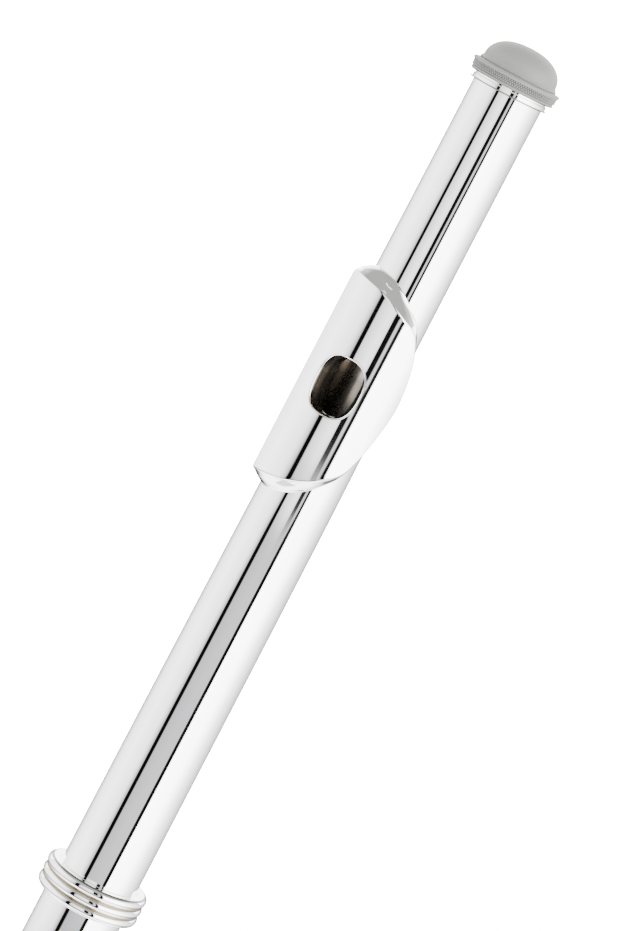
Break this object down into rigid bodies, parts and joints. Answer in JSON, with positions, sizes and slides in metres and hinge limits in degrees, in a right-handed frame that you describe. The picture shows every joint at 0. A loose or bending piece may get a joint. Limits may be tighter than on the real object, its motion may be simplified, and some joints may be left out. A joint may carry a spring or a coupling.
{
  "type": "concert flute",
  "caption": "Silver-plated transverse concert flute with domed crown, winged lip plate, ringed barrel, closed-hole keywork and a foot joint.",
  "frame": {"origin": "centre of the foot joint's mouth, where the bore opens", "axes": "+Z along the tube from the foot's mouth to the crown; -Y out of the embouchure hole and the front keys; -X the player's side"},
  "size_m": [0.0399, 0.0392, 0.6897],
  "materials": {
    "silver_plate": "highly polished silver plate",
    "rod_steel": "drawn and polished steel",
    "plain_metal": "turned brass",
    "pad_skin": "thin skin stretched over felt",
    "cork": "natural cork"
  },
  "bodies": {
    "foot": {"foot_tube": "silver_plate", "foot_socket": "silver_plate", "foot_end_ring": "silver_plate", "foot_posts": "silver_plate", "foot_rod": "rod_steel"},
    "body": {"body_tube": "silver_plate", "barrel_sleeve": "silver_plate", "barrel_rings": "silver_plate", "body_posts": "silver_plate", "main_rod": "rod_steel", "g_rod": "rod_steel", "back_rod": "rod_steel"},
    "head": {"head_tube": "silver_plate", "riser": "silver_plate", "lip_plate": "silver_plate"},
    "crown": {"crown": "silver_plate"},
    "stopper": {"stopper_screw": "rod_steel", "stopper_plate": "plain_metal", "stopper_cork": "cork", "stopper_nut": "plain_metal"},
    "d_key": {"d_key": "silver_plate", "d_pad": "pad_skin"},
    "e_key": {"e_key": "silver_plate", "e_pad": "pad_skin"},
    "f_key": {"f_key": "silver_plate", "f_pad": "pad_skin"},
    "f_sharp_key": {"f_sharp_key": "silver_plate", "f_sharp_pad": "pad_skin"},
    "a_key": {"a_key": "silver_plate", "a_pad": "pad_skin"},
    "b_flat_key": {"b_flat_key": "silver_plate", "b_flat_pad": "pad_skin"},
    "c_key": {"c_key": "silver_plate", "c_pad": "pad_skin"},
    "c_sharp_key": {"c_sharp_key": "silver_plate", "c_sharp_pad": "pad_skin"},
    "g_key": {"g_key": "silver_plate", "g_pad": "pad_skin"},
    "g_sharp_key": {"g_sharp_key": "silver_plate", "g_sharp_pad": "pad_skin"},
    "thumb_key": {"thumb_key": "silver_plate", "thumb_pad": "pad_skin"},
    "d_trill_key": {"d_trill_key": "silver_plate", "d_trill_pad": "pad_skin"},
    "d_sharp_trill_key": {"d_sharp_trill_key": "silver_plate", "d_sharp_trill_pad": "pad_skin"},
    "low_c_key": {"low_c_key": "silver_plate", "low_c_pad": "pad_skin"},
    "low_c_sharp_key": {"low_c_sharp_key": "silver_plate", "low_c_sharp_pad": "pad_skin"},
    "d_sharp_key": {"d_sharp_key": "silver_plate", "d_sharp_pad": "pad_skin"}
  },
  "joints": [
    {"name": "foot_turn", "type": "hinge", "parent": "foot", "child": "body", "pos_m": [0, 0, 0.117], "axis": [0, 0, 1], "range_deg": [-30, 30]},
    {"name": "tuning_slide", "type": "slide", "parent": "body", "child": "head", "axis": [0, 0, 1], "range_m": [0, 0.012]},
    {"name": "crown_turn", "type": "hinge", "parent": "head", "child": "crown", "pos_m": [0, 0, 0.68], "axis": [0, 0, 1], "range_deg": [-722, 722]},
    {"name": "stopper_slide", "type": "slide", "parent": "head", "child": "stopper", "axis": [0, 0, 1], "range_m": [-0.0016, 0.0016]},
    {"name": "d_hinge", "type": "hinge", "parent": "body", "child": "d_key", "pos_m": [-0.0135, -0.0115, 0.13203], "axis": [0, 0, 1], "range_deg": [0, 11], "stiffness_Nm_per_rad": 0.006, "springref_deg": -17.19},
    {"name": "e_hinge", "type": "hinge", "parent": "body", "child": "e_key", "pos_m": [-0.0135, -0.0115, 0.16054], "axis": [0, 0, 1], "range_deg": [0, 11], "stiffness_Nm_per_rad": 0.006, "springref_deg": -17.19},
    {"name": "f_hinge", "type": "hinge", "parent": "body", "child": "f_key", "pos_m": [-0.0135, -0.0115, 0.18745], "axis": [0, 0, 1], "range_deg": [0, 11], "stiffness_Nm_per_rad": 0.006, "springref_deg": -17.19},
    {"name": "f_sharp_hinge", "type": "hinge", "parent": "body", "child": "f_sharp_key", "pos_m": [-0.0135, -0.0115, 0.21285], "axis": [0, 0, 1], "range_deg": [0, 11], "stiffness_Nm_per_rad": 0.006, "springref_deg": -17.19},
    {"name": "a_hinge", "type": "hinge", "parent": "body", "child": "a_key", "pos_m": [-0.0135, -0.0115, 0.28081], "axis": [0, 0, 1], "range_deg": [0, 11], "stiffness_Nm_per_rad": 0.006, "springref_deg": -17.19},
    {"name": "b_flat_hinge", "type": "hinge", "parent": "body", "child": "b_flat_key", "pos_m": [-0.0135, -0.0115, 0.30097], "axis": [0, 0, 1], "range_deg": [0, 11], "stiffness_Nm_per_rad": 0.006, "springref_deg": -17.19},
    {"name": "c_hinge", "type": "hinge", "parent": "body", "child": "c_key", "pos_m": [-0.0135, -0.0115, 0.32], "axis": [0, 0, 1], "range_deg": [0, 11], "stiffness_Nm_per_rad": 0.006, "springref_deg": -17.19},
    {"name": "c_sharp_hinge", "type": "hinge", "parent": "body", "child": "c_sharp_key", "pos_m": [-0.0135, -0.0115, 0.35], "axis": [0, 0, 1], "range_deg": [0, 11], "stiffness_Nm_per_rad": 0.006, "springref_deg": -17.19},
    {"name": "g_hinge", "type": "hinge", "parent": "body", "child": "g_key", "pos_m": [-0.00929, -0.01511, 0.24814], "axis": [0, 0, 1], "range_deg": [0, 11], "stiffness_Nm_per_rad": 0.006, "springref_deg": -17.19},
    {"name": "g_sharp_hinge", "type": "hinge", "parent": "body", "child": "g_sharp_key", "pos_m": [0.0135, 0.0115, 0.23683], "axis": [0, 0, -1], "range_deg": [0, 10], "stiffness_Nm_per_rad": 0.006, "springref_deg": -17.19},
    {"name": "thumb_hinge", "type": "hinge", "parent": "body", "child": "thumb_key", "pos_m": [0.0135, 0.0115, 0.31], "axis": [0, 0, 1], "range_deg": [0, 11], "stiffness_Nm_per_rad": 0.006, "springref_deg": -17.19},
    {"name": "d_trill_hinge", "type": "hinge", "parent": "body", "child": "d_trill_key", "pos_m": [-0.01662, -0.00622, 0.364], "axis": [0, 0, 1], "range_deg": [0, 9], "stiffness_Nm_per_rad": 0.006, "springref_deg": -17.19},
    {"name": "d_sharp_trill_hinge", "type": "hinge", "parent": "body", "child": "d_sharp_trill_key", "pos_m": [-0.01662, -0.00622, 0.379], "axis": [0, 0, 1], "range_deg": [0, 9], "stiffness_Nm_per_rad": 0.006, "springref_deg": -17.19},
    {"name": "low_c_hinge", "type": "hinge", "parent": "foot", "child": "low_c_key", "pos_m": [-0.0135, -0.0115, 0.03592], "axis": [0, 0, 1], "range_deg": [0, 11], "stiffness_Nm_per_rad": 0.006, "springref_deg": -17.19},
    {"name": "low_c_sharp_hinge", "type": "hinge", "parent": "foot", "child": "low_c_sharp_key", "pos_m": [-0.0135, -0.0115, 0.06982], "axis": [0, 0, 1], "range_deg": [0, 11], "stiffness_Nm_per_rad": 0.006, "springref_deg": -17.19},
    {"name": "d_sharp_hinge", "type": "hinge", "parent": "foot", "child": "d_sharp_key", "pos_m": [-0.0135, -0.0115, 0.10183], "axis": [0, 0, -1], "range_deg": [0, 10], "stiffness_Nm_per_rad": 0.006, "springref_deg": -17.19}
  ],
  "couplings": [
    {"joint": "crown_turn", "follows": "stopper_slide", "rad_per_m": -7854},
    {"joint": "c_sharp_hinge", "follows": "c_hinge", "ratio": 1},
    {"joint": "b_flat_hinge", "follows": "a_hinge", "ratio": 1},
    {"joint": "f_sharp_hinge", "follows": "f_hinge", "ratio": 1}
  ]
}
